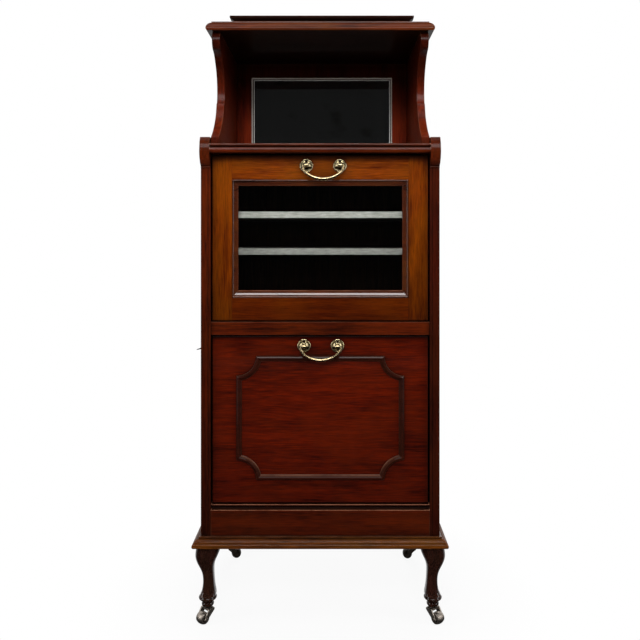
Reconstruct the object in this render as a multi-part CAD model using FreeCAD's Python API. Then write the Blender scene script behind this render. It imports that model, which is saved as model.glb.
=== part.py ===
import FreeCAD, Part
import math
import os

# Music cabinet, in millimetres: X runs across, Y from front to back and Z up from the floor.
# Depths are counted backwards from the faces of the two front pilasters.

# Heights of the storeys, from the legs up
leg_height = 141.2
base_height = 23.0
plinth_height = 58.0
bead_rail_height = 11.5
lower_fall_height = 378.5
mid_rail_height = 29.5
upper_fall_height = 375.0
shelf_thickness = 21.5
stage_height = 261.0
canopy_thickness = 22.5
gallery_height = 90.5
capping_height = 18.0

# Carcass
body_half = 270.0
body_depth = 340.0
board = 22.0
stage_board = 18.0
plinth_setback = 0.5
rail_setback = 4.0
rail_depth = 30.0
cove_depth = 5.0
back_thickness = 12.0
back_rebate = 10.0
back_board_count = 5
back_joint = 1.0
tongue_length = 6.0
tongue_thickness = 4.0
tongue_play = 0.3
base_projection = 18.0

# Pilasters with a roll at the head
pilaster_depth = 20.0
roll_projection = 20.0
roll_height = 65.0
roll_rise = 15.0
groove_inset = 5.0
groove_width = 1.2
groove_depth = 1.5

# Upper stage
nosing_projection = 23.5
bracket_depth = 88.0
line_inset = 6.0
line_width = 1.4
line_depth = 1.0
mirror_stile = 39.0
mirror_head = 37.0
mirror_sill = 35.0
mirror_lip = 6.0
mirror_rebate = 5.0
mirror_thickness = 5.0
mirror_bevel = 12.0
mirror_edge = 3.0
mirror_play = 0.5
mirror_board = 9.0
mirror_inset = 28.0
canopy_overhang = 13.0
canopy_setback = 7.0
canopy_ovolo = 11.5
gallery_inset = 24.0
gallery_thickness = 18.0
capping_projection = 13.0

# Falls
fall_setback = 8.0
fall_ease = 0.8
stile_width = 44.3
head_rail = 55.0
foot_rail = 51.0
glazing_width = 13.5
glazing_foot_share = 1.24
glazing_depth = 9.0
glazing_setback = 1.0
glass_thickness = 3.0
glass_play = 1.0
fillet_width = 10.0
fillet_depth = 8.0
bead_side = 54.5
bead_foot = 52.0
bead_head = 45.5
bead_corner = 45.0
bead_width = 12.0
bead_proud = 5.0

# Pivots, stays and stops of the falls
pivot_rise = 20.0
pivot_setback = 6.0
pivot_radius = 3.0
pivot_hold = 12.0
bush_radius = 5.0
bush_length = 12.0
stay_width = 8.0
stay_thickness = 3.0
stay_inset = 12.0
stay_end = 100.0
stay_clearance = 4.5
stay_foot_thickness = 3.0
stay_foot_height = 38.0
stay_foot_width = 11.0
stud_angle = 98.0
stud_radius = 3.0
stud_length = 8.0
guide_gap = 5.0
guide_depth = 7.0
guide_rise = 10.0
guide_slack = 0.4
stop_width = 8.0
stop_depth = 11.7
stop_drop = 10.0
stop_height = 30.0
stop_slack = 0.3

# Music shelves, with their levels in fractions of the upper fall's height
shelf_board = 15.0
first_shelf_share = 0.404
shelf_pitch_share = 0.2267
shelf_front = 36.0
shelf_play = 0.5
shelf_back_play = 2.0
cleat_width = 12.0
cleat_height = 12.0
cleat_front = 50.0
cleat_back = 20.0

# Drop handles
upper_handle_shift = 6.5
upper_handle_drop = 23.5
lower_handle_shift = 1.0
lower_handle_drop = 22.0
post_half = 38.0
post_radius = 3.0
rose_radius = 15.0
rose_height = 5.5
piercing_radius = 1.6
piercing_reach = 9.8
eye_stand = 14.0
eye_radius = 4.6
eye_half = 3.0
nut_radius = 6.5
nut_thickness = 4.0
bail_radius = 2.2
grip_radius = 4.0
bail_tail = 2.5
bail_slack = 0.4
bail_bend = 3.6
bail_drop = 31.0
bail_turn = 40.0

# Small iron hook in the left pilaster
hook_height = 622.0
hook_depth = 10.0
hook_radius = 1.6
hook_length = 11.0
hook_droop = 3.0
hook_root = 8.0

# Cabriole legs
leg_reach = 28.0
leg_inset = 13.5
front_leg_depth = 14.0
rear_leg_inset = 21.5
rear_leg_depth = 20.5
rear_knee = 0.74
leg_corner = 0.3
tenon_radius = 12.0
tenon_length = 18.0
tenon_bottom = 0.4

# Castors
wheel_radius = 13.0
wheel_half = 10.0
wheel_crown = 2.0
wheel_to_crown = 2.0
castor_trail = 15.0
crown_thickness = 4.0
crown_reach = 8.0
arm_thickness = 3.0
arm_end = 5.5
arm_gap = 1.0
axle_radius = 2.5
axle_head_radius = 4.0
axle_head = 1.5
flange_radius = 10.0
flange_thickness = 2.5
spigot_radius = 4.0
spigot_length = 27.0
king_radius = 2.5
rivet_radius = 4.2
rivet_thickness = 2.0
swivel_slack = 0.3

# Clearances
fall_gap = 3.0
fixed_fit = 0.02
running_fit = 0.05

# Levels that follow from the heights
castor_height = 2 * wheel_radius + wheel_to_crown + crown_thickness + swivel_slack + flange_thickness
base_bottom = castor_height + leg_height
base_top = base_bottom + base_height
plinth_top = base_top + plinth_height
bead_top = plinth_top + bead_rail_height
lower_bottom = bead_top + fall_gap
lower_top = lower_bottom + lower_fall_height
mid_bottom = lower_top + fall_gap
mid_top = mid_bottom + mid_rail_height
upper_bottom = mid_top + fall_gap
upper_top = upper_bottom + upper_fall_height
shelf_bottom = upper_top + fall_gap
shelf_top = shelf_bottom + shelf_thickness
canopy_bottom = shelf_top + stage_height
canopy_top = canopy_bottom + canopy_thickness
gallery_top = canopy_top + gallery_height
roll_top = shelf_top + roll_rise

# Places that follow from the widths and depths
forward_reach = max(roll_projection, base_projection)
front = (forward_reach - body_depth) / 2
inner_half = body_half - board
stage_half = inner_half - stage_board
fall_half = inner_half - fall_gap
fall_back = fall_setback + board
rail_back = rail_setback + rail_depth
back_front = body_depth - back_thickness
mirror_front = body_depth - mirror_inset
pivot_depth = fall_setback + pivot_setback
eye_depth = fall_setback - eye_stand
base_half = body_half + base_projection


def vec(x, depth, z):
    """Point at a place across, a depth behind the pilaster faces and a height."""
    return FreeCAD.Vector(x, front + depth, z)


def box(x, depth, z):
    """Block between two limits across, in depth and in height."""
    return Part.makeBox(x[1] - x[0], depth[1] - depth[0], z[1] - z[0], vec(x[0], depth[0], z[0]))


def rod(radius, start, end):
    """Round bar between two points."""
    return Part.makeCylinder(radius, (end - start).Length, start, end - start)


def mirrored(shape):
    """The same piece on the other side of the cabinet."""
    return shape.mirror(FreeCAD.Vector(0, 0, 0), FreeCAD.Vector(1, 0, 0))


def both(shape):
    """A piece and its partner on the other side."""
    return [shape, mirrored(shape)]


def fitted(profile, place):
    """Profile with every point sent through a placing function."""
    steps = []
    for step in profile:
        if isinstance(step[0], tuple):
            steps.append(tuple(place(*point) for point in step))
        else:
            steps.append(place(*step))
    return steps


def outline(place, start, *steps):
    """Closed wire; a step is the next point, or two points for an arc through the first to the second."""
    edges = []
    here = start
    for step in steps + (start,):
        if isinstance(step[0], tuple):
            via, end = step
            edges.append(Part.Arc(place(*here), place(*via), place(*end)).toShape())
        elif step != here:
            end = step
            edges.append(Part.makeLine(place(*here), place(*end)))
        here = end
    return Part.Wire(edges)


def along_x(x, *points):
    """Prism across the cabinet with an outline in depth and height."""
    profile = Part.Face(outline(lambda depth, z: vec(x[0], depth, z), *points))
    return profile.extrude(FreeCAD.Vector(x[1] - x[0], 0, 0))


def along_y(depth, *points):
    """Prism from front to back with an outline across and in height."""
    profile = Part.Face(outline(lambda x, z: vec(x, depth[0], z), *points))
    return profile.extrude(FreeCAD.Vector(0, depth[1] - depth[0], 0))


def along_z(z, *points):
    """Upright prism with an outline across and in depth."""
    profile = Part.Face(outline(lambda x, depth: vec(x, depth, z[0]), *points))
    return profile.extrude(FreeCAD.Vector(0, 0, z[1] - z[0]))


def turned(*points):
    """Turned piece about the upright axis, with an outline in radius and height."""
    profile = Part.Face(outline(lambda radius, z: FreeCAD.Vector(radius, 0, z), *points))
    return profile.revolve(FreeCAD.Vector(0, 0, 0), FreeCAD.Vector(0, 0, 1), 360)


def eased(shape):
    """Block with its arrises taken off."""
    return shape.makeFillet(fall_ease, shape.Edges)


def moulded_board(half, depth, bottom, height, reach, profile):
    """Board moulded along its front and ends; the profile is in fractions of the reach and the height."""
    def from_front(inset, rise):
        return depth + inset * reach, bottom + rise * height

    def from_end(inset, rise):
        return half - inset * reach, bottom + rise * height

    top = bottom + height
    length = along_x((-half, half), (body_depth, bottom), *fitted(profile, from_front), (body_depth, top))
    end = along_y((depth, body_depth), (-half, bottom), *fitted(profile, from_end), (-half, top))
    return length.common(end).common(mirrored(end))


def mitred_frame(half, z, width, depth, profile, foot_share=1):
    """Four bars mitred round an opening, the lower one wider by a share.

    The profile is in reach into the opening and depth.
    """
    low, high = z

    def jamb(into, back):
        return half - into, back

    def sill(into, back):
        return back, low + into * foot_share

    def head(into, back):
        return back, high - into

    inner = half - width
    foot = low + width * foot_share
    upright = along_z(z, *fitted(profile, jamb))
    upright = upright.common(
        along_y(depth, (half, low), (half, high), (inner, high - width), (inner, foot)))
    lower = along_x((-half, half), *fitted(profile, sill))
    lower = lower.common(
        along_y(depth, (-half, low), (half, low), (inner, foot), (-inner, foot)))
    upper = along_x((-half, half), *fitted(profile, head))
    upper = upper.common(
        along_y(depth, (-half, high), (half, high), (inner, high - width), (-inner, high - width)))
    return both(upright) + [lower, upper]


# Pilasters
def roll(forward, rise):
    """Point of the pilaster's roll from fractions of its projection and height."""
    return -forward * roll_projection, roll_top - (1 - rise) * roll_height


ROLL = (
    (0, -0.05),
    ((0.13, -0.025), (0.03, 0)),
    ((0.73, 0.207), (1, 0.5)),
    ((0.872, 0.7615), (0.5, 1)),
)


def pivot_point(x, bottom):
    """Point on the pivot line of the fall with the given bottom edge."""
    return vec(x, pivot_depth, bottom + pivot_rise)


def bush(radius, x, bottom):
    """Round bar about a pivot line, between two places across."""
    return rod(radius, pivot_point(x[0], bottom), pivot_point(x[1], bottom))


fall_bottoms = (lower_bottom, upper_bottom)
bush_end = inner_half + bush_length
pilaster = along_x(
    (inner_half, body_half), (pilaster_depth, base_top), (0, base_top),
    *fitted(ROLL, roll), (pilaster_depth, roll_top))
groove_start = inner_half + groove_inset
pilaster = pilaster.cut(box(
    (groove_start, groove_start + groove_width), (0, groove_depth), (base_top, roll_top - roll_height)))
bushes = []
for bottom in fall_bottoms:
    pilaster = pilaster.cut(bush(bush_radius + fixed_fit, (inner_half, bush_end), bottom))
    tube = bush(bush_radius, (inner_half, bush_end), bottom)
    bushes += both(tube.cut(bush(pivot_radius + running_fit, (inner_half, bush_end), bottom)))

hook_start = vec(-body_half + hook_root, hook_depth, hook_height)
hook_wall = vec(-body_half, hook_depth, hook_height)
hook_tip = vec(-body_half - hook_length, hook_depth, hook_height - hook_droop)
hook = rod(hook_radius, hook_start, hook_wall).fuse([
    Part.makeSphere(hook_radius, hook_wall),
    Part.makeCone(hook_radius, hook_radius / 2, (hook_tip - hook_wall).Length, hook_wall, hook_tip - hook_wall)])
pilaster_left = mirrored(pilaster).cut(rod(hook_radius + fixed_fit, hook_start, hook_wall))

# Sides, back and the boards between them
side_panel = box((inner_half, body_half), (pilaster_depth, body_depth), (base_top, shelf_top))
back_half = inner_half + back_rebate
side_panel = side_panel.cut(box((inner_half, back_half), (back_front, body_depth), (base_top, shelf_bottom)))
back_pitch = (2 * back_half + back_joint) / back_board_count
back_levels = (base_top, shelf_bottom)
tongue_front = back_front + (back_thickness - tongue_thickness) / 2
tongue_back = tongue_front + tongue_thickness
back_boards = []
for index in range(back_board_count):
    left = -back_half + index * back_pitch
    right = left + back_pitch - back_joint
    plank = box((left, right), (back_front, body_depth), back_levels)
    if index > 0:
        groove_end = left + tongue_length - back_joint + tongue_play
        plank = plank.cut(box(
            (left, groove_end), (tongue_front - tongue_play, tongue_back + tongue_play), back_levels))
    if index < back_board_count - 1:
        plank = plank.fuse(box((right, right + tongue_length), (tongue_front, tongue_back), back_levels))
    back_boards.append(plank)

across = (-inner_half, inner_half)
plinth_front = box(across, (plinth_setback, plinth_setback + board), (base_top, plinth_top))
bottom_board = box(across, (rail_back, back_front), (bead_top - board, bead_top))
divider_board = box(across, (rail_back, back_front), (mid_top - board, mid_top))
mid_rail = box(across, (rail_setback, rail_back), (mid_bottom, mid_top))


def cove(back, rise):
    """Point of the bead rail's front from fractions of the cove's depth and the rail's height."""
    return rail_setback + back * cove_depth, plinth_top + rise * bead_rail_height


COVE = ((1, 0), (1, 0.15), ((0.7, 0.5), (0.1, 0.72)), (0, 0.74), (0, 1))
bead_rail = along_x(across, (rail_back, plinth_top), *fitted(COVE, cove), (rail_back, bead_top))

# Base board and its mitred moulding
BASE = (
    (0, 0),
    (0.83, 0),
    ((1, 0.22), (0.86, 0.46)),
    (0.8, 0.48),
    ((0.69, 0.67), (0.33, 0.83)),
    (0.25, 0.83),
    (0.25, 1),
    (0, 1),
)


def base_front(out, rise):
    """Point of the front moulding from fractions of its projection and height."""
    return -out * base_projection, base_bottom + rise * base_height


def base_side(out, rise):
    """Point of the right-hand moulding from fractions of its projection and height."""
    return body_half + out * base_projection, base_bottom + rise * base_height


base_levels = (base_bottom, base_top)
front_plan = ((-body_half, 0), (body_half, 0), (base_half, -base_projection), (-base_half, -base_projection))
side_plan = ((body_half, 0), (base_half, -base_projection), (base_half, body_depth), (body_half, body_depth))
base_moulding_front = along_x((-base_half, base_half), *fitted(BASE, base_front))
base_moulding_front = base_moulding_front.common(along_z(base_levels, *front_plan))
base_moulding_side = along_y((-base_projection, body_depth), *fitted(BASE, base_side))
base_moulding_side = base_moulding_side.common(along_z(base_levels, *side_plan))
base_board = box((-body_half, body_half), (0, body_depth), base_levels)

# Display shelf with its nosing
display_shelf = box((-stage_half, stage_half), (rail_setback, mirror_front), (shelf_bottom, shelf_top))


def nose(out, rise):
    """Point of the nosing from fractions of its projection and height."""
    return rail_setback - out * nosing_projection, shelf_bottom + rise * shelf_thickness


NOSE = (
    (0, 0),
    (0.72, 0),
    ((1, 0.33), (0.74, 0.65)),
    (0.74, 0.7),
    (0.81, 0.72),
    ((0.94, 0.86), (0.83, 1)),
    (0, 1),
)
shelf_nosing = along_x(across, *fitted(NOSE, nose))

# Shaped sides of the upper stage
BRACKET = (
    (0, 0.065),
    ((0.41, 0.165), (0.705, 0.276)),
    ((0.815, 0.345), (0.875, 0.412)),
    (0.94, 0.419),
    ((0.989, 0.502), (0.636, 0.778)),
    ((0.525, 0.814), (0.3, 0.847)),
    ((0.15, 0.91), (0.25, 1)),
)


def bracket_board(x, inset):
    """Board with the shaped front edge, set back from its proper line by an inset."""
    edge_front = rail_setback + inset

    def place(back, rise):
        return edge_front + back * bracket_depth, shelf_top + rise * stage_height

    return along_x(
        x, (body_depth, shelf_bottom), (edge_front, shelf_bottom),
        *fitted(BRACKET, place), (body_depth, canopy_bottom))


line_x = (stage_half, stage_half + line_depth)
edge_line = bracket_board(line_x, line_inset).cut(bracket_board(line_x, line_inset + line_width))
upper_side = bracket_board((stage_half, inner_half), 0).cut(edge_line)

# Mirror in its frame
glass_depth = mirror_front + mirror_lip
mirror_back = glass_depth + mirror_thickness + mirror_board
sight_half = stage_half - mirror_stile
sight = (shelf_top + mirror_sill, canopy_bottom - mirror_head)
rebate_half = sight_half + mirror_rebate
rebate = (sight[0] - mirror_rebate, sight[1] + mirror_rebate)
stage = (shelf_bottom, canopy_bottom)
frame_depth = (mirror_front, mirror_back)
frame_bars = [
    box((sight_half, stage_half), frame_depth, stage),
    box((-stage_half, -sight_half), frame_depth, stage),
    box((-sight_half, sight_half), frame_depth, (shelf_bottom, sight[0])),
    box((-sight_half, sight_half), frame_depth, (sight[1], canopy_bottom)),
]
frame_rebate = box((-rebate_half, rebate_half), (glass_depth, mirror_back), rebate)
mirror_frame = [bar.cut(frame_rebate) for bar in frame_bars]


def plate(inset, depth):
    """Edge of the mirror plate, drawn in from its outer size, at a depth."""
    half = rebate_half - mirror_play - inset
    low = rebate[0] + mirror_play + inset
    high = rebate[1] - mirror_play - inset
    return outline(lambda x, z: vec(x, depth, z), (-half, low), (half, low), (half, high), (-half, high))


mirror_glass = Part.makeLoft(
    [plate(0, glass_depth + mirror_thickness), plate(0, glass_depth + mirror_thickness - mirror_edge),
     plate(mirror_bevel, glass_depth)], True, True)
mirror_backboard = box((-rebate_half, rebate_half), (glass_depth + mirror_thickness, mirror_back), rebate)

# Moulded top, gallery and capping
CANOPY = ((0.22, 0), ((0.05, 0.11), (0, 0.28)), ((0.3, 0.62), (0.87, 0.86)), (1, 0.86), (1, 1))
CAPPING = ((1, 0), ((0.8, 0.33), (0.31, 0.56)), (0.23, 0.6), (0.23, 0.69), (0, 0.69), (0, 1))
canopy_board = moulded_board(
    inner_half + canopy_overhang, canopy_setback, canopy_bottom, canopy_thickness, canopy_ovolo, CANOPY)
gallery_half = inner_half + canopy_overhang - gallery_inset
gallery_front = body_depth - gallery_thickness
back_gallery = box((-gallery_half, gallery_half), (gallery_front, body_depth), (canopy_top, gallery_top))
gallery_capping = moulded_board(
    gallery_half + capping_projection, gallery_front - capping_projection,
    gallery_top, capping_height, capping_projection, CAPPING)

# Music shelves on cleats
first_shelf = first_shelf_share * upper_fall_height
shelf_pitch = shelf_pitch_share * upper_fall_height
shelf_levels = [mid_top + first_shelf + index * shelf_pitch for index in range(2)]
shelf_half = inner_half - shelf_play
shelf_depth = (shelf_front, back_front - shelf_back_play)
music_shelves = []
shelf_cleats = []
for level in shelf_levels:
    music_shelves.append(eased(box((-shelf_half, shelf_half), shelf_depth, (level, level + shelf_board))))
    shelf_cleats += both(box(
        (inner_half - cleat_width, inner_half), (cleat_front, body_depth - cleat_back), (level - cleat_height, level)))

# Quadrant stays, their guides and the stops of the falls
stay_radius = first_shelf - cleat_height - fall_gap - pivot_rise - stay_width / 2 - stay_clearance
stay_x = (inner_half - stay_inset, inner_half - stay_inset + stay_thickness)
stay_middle = (stay_x[0] + stay_x[1]) / 2


def arc_point(radius, angle, bottom):
    """Depth and height at an angle back from the upright about a fall's pivot line."""
    turn = math.radians(angle)
    return pivot_depth + radius * math.sin(turn), bottom + pivot_rise + radius * math.cos(turn)


def quadrant(x, half_width, start, end, bottom):
    """Curved flat bar about a fall's pivot line between two angles."""
    inner = stay_radius - half_width
    outer = stay_radius + half_width
    middle = (start + end) / 2
    return along_x(
        x, arc_point(inner, start, bottom), arc_point(outer, start, bottom),
        (arc_point(outer, middle, bottom), arc_point(outer, end, bottom)), arc_point(inner, end, bottom),
        (arc_point(inner, middle, bottom), arc_point(inner, start, bottom)))


def stay(bottom):
    """Right-hand stay of a fall with its foot and its stop stud."""
    bar = quadrant(stay_x, stay_width / 2, 0, stay_end, bottom)
    foot_middle = bottom + pivot_rise + stay_radius
    foot = box(
        (stay_middle - stay_foot_width / 2, stay_middle + stay_foot_width / 2),
        (fall_back, fall_back + stay_foot_thickness),
        (foot_middle - stay_foot_height / 2, foot_middle + stay_foot_height / 2))
    stud_depth, stud_z = arc_point(stay_radius, stud_angle, bottom)
    stud = rod(
        stud_radius, vec(stay_middle - stud_length / 2, stud_depth, stud_z),
        vec(stay_middle + stud_length / 2, stud_depth, stud_z))
    clear = box((0, body_half), (0, fall_back), (bottom, bottom + upper_fall_height))
    return bar.cut(clear).fuse([foot, stud]).removeSplitter()


def guide(bottom):
    """Right-hand slotted block that a stay slides through."""
    middle = bottom + pivot_rise + stay_radius - stay_clearance / 2
    block = box(
        (stay_x[0] - stay_thickness - guide_slack, inner_half),
        (fall_back + guide_gap, fall_back + guide_gap + guide_depth), (middle - guide_rise, middle + guide_rise))
    slot = quadrant(
        (stay_x[0] - guide_slack, stay_x[1] + guide_slack), stay_width / 2 + guide_slack, 0, stay_end, bottom)
    return block.cut(slot)


def stop(top):
    """Right-hand block that the closed fall rests against."""
    return box(
        (inner_half - stop_width, inner_half),
        (fall_back + stop_slack, fall_back + stop_slack + stop_depth),
        (top - stop_drop - stop_height, top - stop_drop))


stay_guides = both(guide(lower_bottom)) + both(guide(upper_bottom))
door_stops = both(stop(lower_top)) + both(stop(upper_top))


def pivot_pins(bottom):
    """Pair of pins on which a fall turns."""
    return both(bush(pivot_radius, (fall_half - pivot_hold, bush_end), bottom))


def pivot_holes(bottom):
    """Bores for the pair of pins in a fall."""
    return both(bush(pivot_radius + fixed_fit, (fall_half - pivot_hold, fall_half), bottom))


# Drop handles, with the rose's outline in fractions of its radius and height
ROSE = (
    (1, 0),
    (1, 0.15),
    ((0.95, 0.44), (0.84, 0.42)),
    ((0.7, 0.31), (0.56, 0.47)),
    ((0.45, 0.87), (0.3, 1)),
)


class Handle:
    """Drop handle on a fall, hung from two posts."""

    def __init__(self, shift, z):
        self.z = z
        self.posts_x = (shift - post_half, shift + post_half)
        self.middle = shift

    def bar(self, radius, x, start, end):
        """Round bar from front to back through one post."""
        return rod(radius, vec(x, start, self.z), vec(x, end, self.z))

    def holes(self):
        """Bores for the posts in the fall."""
        return [self.bar(post_radius + fixed_fit, x, fall_setback, fall_back) for x in self.posts_x]

    def rose(self, x):
        """Dished and pierced backplate round one post."""
        def dish(radius, rise):
            return radius * rose_radius, rise * rose_height

        hole = post_radius + fixed_fit
        body = turned((hole, 0), *fitted(ROSE, dish), (hole, rose_height))
        for index in range(3):
            turn = math.radians(90 + 120 * index)
            spot = FreeCAD.Vector(piercing_reach * math.cos(turn), piercing_reach * math.sin(turn), 0)
            body = body.cut(rod(piercing_radius, spot, spot + FreeCAD.Vector(0, 0, rose_height)))
        body.rotate(FreeCAD.Vector(0, 0, 0), FreeCAD.Vector(1, 0, 0), 90)
        return body.translated(vec(x, fall_setback, self.z))

    def post(self, x):
        """Post with the eye for the bail in front and the nut behind the fall."""
        corners = []
        for index in range(6):
            turn = math.pi * index / 3
            corners.append((x + nut_radius * math.cos(turn), self.z + nut_radius * math.sin(turn)))
        nut = along_y((fall_back, fall_back + nut_thickness), *corners)
        eye = rod(eye_radius, vec(x - eye_half, eye_depth, self.z), vec(x + eye_half, eye_depth, self.z))
        stem = self.bar(post_radius, x, eye_depth, fall_back + nut_thickness + post_radius)
        bore = rod(
            bail_radius + running_fit, vec(x - eye_half, eye_depth, self.z), vec(x + eye_half, eye_depth, self.z))
        return stem.fuse([nut, eye]).removeSplitter().cut(bore)

    def bail(self):
        """Bail with its ends turned in through the eyes."""
        tail = post_half - eye_half - bail_tail
        bend_start = post_half + eye_half + bail_slack
        reach = bend_start + bail_bend
        rise = bail_drop - bail_bend
        turn = math.radians(bail_turn)
        sine = math.sin(turn)
        cosine = math.cos(turn)
        scale = (1 - sine) * (1 - cosine) - sine * cosine
        shoulder = (reach * (1 - cosine) - rise * sine) / scale
        belly = (rise * (1 - sine) - reach * cosine) / scale
        diagonal = bail_bend * math.sqrt(0.5)
        half_turn = math.radians((90 - bail_turn) / 2)
        shoulder_mid = (
            reach - shoulder * (1 - math.cos(half_turn)), bail_bend + shoulder * math.sin(half_turn))
        belly_end = (belly * sine, bail_drop - belly * (1 - cosine))
        quarter = (belly * math.sin(turn / 2), bail_drop - belly * (1 - math.cos(turn / 2)))

        def place(x, drop):
            return vec(self.middle + x, eye_depth, self.z - drop)

        def arc(start, via, end):
            return Part.Arc(place(*start), place(*via), place(*end)).toShape()

        def flip(point):
            return -point[0], point[1]

        bend = ((bend_start, 0), (bend_start + diagonal, bail_bend - diagonal), (reach, bail_bend))
        side = (bend[2], shoulder_mid, belly_end)
        def ring(x, drop, radius, axis):
            return Part.Wire([Part.makeCircle(radius, place(x, drop), FreeCAD.Vector(*axis))])

        def end(turn_about):
            points = [turn_about(point) for point in bend]
            path = [Part.makeLine(place(*turn_about((tail, 0))), place(*points[0])), arc(*points)]
            start = ring(*turn_about((tail, 0)), bail_radius, (1, 0, 0))
            return Part.Wire(path).makePipeShell([start], True, False)

        grip_path = [
            arc(*side),
            arc(belly_end, quarter, (0, bail_drop)),
            arc((0, bail_drop), flip(quarter), flip(belly_end)),
            arc(flip(side[2]), flip(side[1]), flip(side[0])),
        ]
        grip_rings = [
            ring(*side[0], bail_radius, (0, 0, 1)),
            ring(0, bail_drop, grip_radius, (1, 0, 0)),
            ring(*flip(side[0]), bail_radius, (0, 0, 1)),
        ]
        grip = Part.Wire(grip_path).makePipeShell(grip_rings, True, False)
        return grip.fuse([end(tuple), end(flip)])


upper_handle = Handle(upper_handle_shift, upper_top - upper_handle_drop)
lower_handle = Handle(lower_handle_shift, lower_top - lower_handle_drop)

# Upper fall: a frame glazed from behind
fall_depth = (fall_setback, fall_back)
pane_half = fall_half - stile_width
opening = (upper_bottom + foot_rail, upper_top - head_rail)
stile = box((pane_half, fall_half), fall_depth, (upper_bottom, upper_top))
upper_stiles = both(stile.cut(pivot_holes(upper_bottom)[0]))
foot = box((-pane_half, pane_half), fall_depth, (upper_bottom, opening[0]))
head = box((-pane_half, pane_half), fall_depth, (opening[1], upper_top)).cut(upper_handle.holes())
glazing_front = fall_setback + glazing_setback
pane_front = glazing_front + glazing_depth
pane_back = pane_front + glass_thickness


def glazing(into, back):
    """Point of the glazing moulding from fractions of its width and depth."""
    return into * glazing_width, glazing_front + back * glazing_depth


GLAZING = (
    (0, 0.12),
    ((0.11, 0), (0.22, 0.12)),
    (0.27, 0.34),
    ((0.6, 0.6), (1, 0.72)),
    (1, 1),
    (0, 1),
)
glazing_moulding = mitred_frame(
    pane_half, opening, glazing_width, (glazing_front, pane_front), fitted(GLAZING, glazing), glazing_foot_share)
fillet_end = pane_back + fillet_depth
FILLET = ((0, pane_back), (fillet_width, pane_back), (fillet_width, fillet_end), (0, fillet_end))
glazing_fillets = mitred_frame(pane_half, opening, fillet_width, (pane_back, fillet_end), FILLET)
glass_pane = box(
    (-pane_half + glass_play, pane_half - glass_play), (pane_front, pane_back),
    (opening[0] + glass_play, opening[1] - glass_play))

# Lower fall: a panel with an applied bead
lower_panel = eased(box((-fall_half, fall_half), fall_depth, (lower_bottom, lower_top)))
lower_panel = lower_panel.cut(pivot_holes(lower_bottom) + lower_handle.holes())


def bead_wire(offset, proud):
    """Line of the bead at an offset in from its outer edge: straight sides and hollowed corners."""
    half = fall_half - bead_side
    low = lower_bottom + bead_foot
    high = lower_top - bead_head
    radius = bead_corner + offset
    reach = math.sqrt(radius ** 2 - offset ** 2)
    middle = radius * math.sqrt(0.5)
    return outline(
        lambda x, z: vec(x, fall_setback - proud, z),
        (reach - half, low + offset),
        (half - reach, low + offset),
        ((half - middle, low + middle), (half - offset, low + reach)),
        (half - offset, high - reach),
        ((half - middle, high - middle), (half - reach, high - offset)),
        (reach - half, high - offset),
        ((middle - half, high - middle), (offset - half, high - reach)),
        (offset - half, low + reach),
        ((middle - half, low + middle), (reach - half, low + offset)))


def bead_side_of(profile):
    """Solid inside one side of the bead, from fractions of its width and height."""
    return Part.makeLoft([bead_wire(into * bead_width, up * bead_proud) for into, up in profile], True, True)


lower_bead = bead_side_of(((0, 0), (0.02, 0.45), (0.12, 0.8), (0.3, 1)))
lower_bead = lower_bead.cut(bead_side_of(((1, 0), (0.88, 0.35), (0.65, 0.55), (0.5, 1))))

# Cabriole legs: height, outward reach and inward reach as fractions
LEG = (
    (1, 0.9, 1.1),
    (0.9, 0.93, 0.98),
    (0.82, 0.92, 0.8),
    (0.7, 0.73, 0.57),
    (0.56, 0.46, 0.5),
    (0.4, 0.37, 0.53),
    (0.27, 0.45, 0.61),
    (0.185, 0.62, 0.66),
)
FOOT = (
    (0, 0.2),
    (0.58, 0.2),
    (0.66, 0.166),
    ((0.73, 0.144), (0.66, 0.122)),
    ((0.46, 0.1), (0.46, 0.066)),
    ((0.5, 0.043), (0.46, 0.02)),
    (0.38, 0),
    (0, 0),
)


def leg_section(rise, outward, inward, knee):
    """Rounded section of a leg on the origin, which reaches out along X and by a share of that along Y."""
    low = -inward * leg_reach
    wide = outward * leg_reach
    deep = knee * wide
    corner = leg_corner * (deep - low)
    tip = corner * (1 - math.sqrt(0.5))
    z = castor_height + rise * leg_height
    return outline(
        lambda x, y: FreeCAD.Vector(x, y, z),
        (low + corner, low), (wide - corner, low),
        ((wide - tip, low + tip), (wide, low + corner)), (wide, deep - corner),
        ((wide - tip, deep - tip), (wide - corner, deep)), (low + corner, deep),
        ((low + tip, deep - tip), (low, deep - corner)), (low, low + corner),
        ((low + tip, low + tip), (low + corner, low)))


def turned_foot(radius, rise):
    """Point of the turned foot from fractions of the leg's reach and height."""
    return radius * leg_reach, castor_height + rise * leg_height


tenon_end = base_bottom + tenon_length
tenon = turned((0, base_bottom), (tenon_radius, base_bottom), (tenon_radius, tenon_end), (0, tenon_end))
spigot_hole = turned(
    (0, castor_height), (spigot_radius + fixed_fit, castor_height),
    (spigot_radius + fixed_fit, castor_height + spigot_length), (0, castor_height + spigot_length))
leg_foot = turned(*fitted(FOOT, turned_foot))


def cabriole(knee):
    """Leg on the origin, with a share of its outward knee left towards the front or the back."""
    shaft = Part.makeLoft([leg_section(*section, knee) for section in LEG], True)
    return shaft.fuse([leg_foot, tenon]).cut(spigot_hole)


front_leg = cabriole(1).mirror(FreeCAD.Vector(0, 0, 0), FreeCAD.Vector(0, 1, 0))
rear_leg = cabriole(rear_knee)
mortise_end = tenon_end + tenon_bottom
mortise = turned(
    (0, base_bottom), (tenon_radius + fixed_fit, base_bottom),
    (tenon_radius + fixed_fit, mortise_end), (0, mortise_end))

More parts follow.
